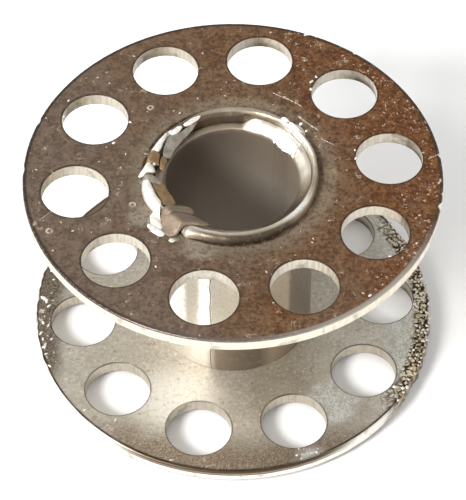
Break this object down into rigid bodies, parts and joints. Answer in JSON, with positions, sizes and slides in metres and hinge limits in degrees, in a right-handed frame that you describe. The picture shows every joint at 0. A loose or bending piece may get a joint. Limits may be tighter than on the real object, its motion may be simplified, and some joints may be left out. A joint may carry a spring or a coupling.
{
  "type": "sewing machine bobbin",
  "caption": "Metal sewing machine bobbin with two punched disc flanges on a rolled tube hub whose curled ends hold them, for winding thread.",
  "frame": {"origin": "centre of the lower end, at the lowest point of the lower curled end", "axes": "+Z along the bobbin's axis, towards the upper flange; the hub sleeve's seam runs up at 254 degrees from +X about +Z"},
  "size_m": [0.0206, 0.0206, 0.012],
  "materials": {
    "flange_steel": "tarnished nickel plate, satin, with pits and fine scratches",
    "hub_steel": "nickel plate, brighter on the curled ends, worn at the edges",
    "liner_steel": "dull bare steel with brown tarnish"
  },
  "bodies": {
    "root": {"upper_flange": "flange_steel", "lower_flange": "flange_steel", "hub_sleeve": "hub_steel", "hub_liner": "liner_steel"}
  },
  "joints": []
}
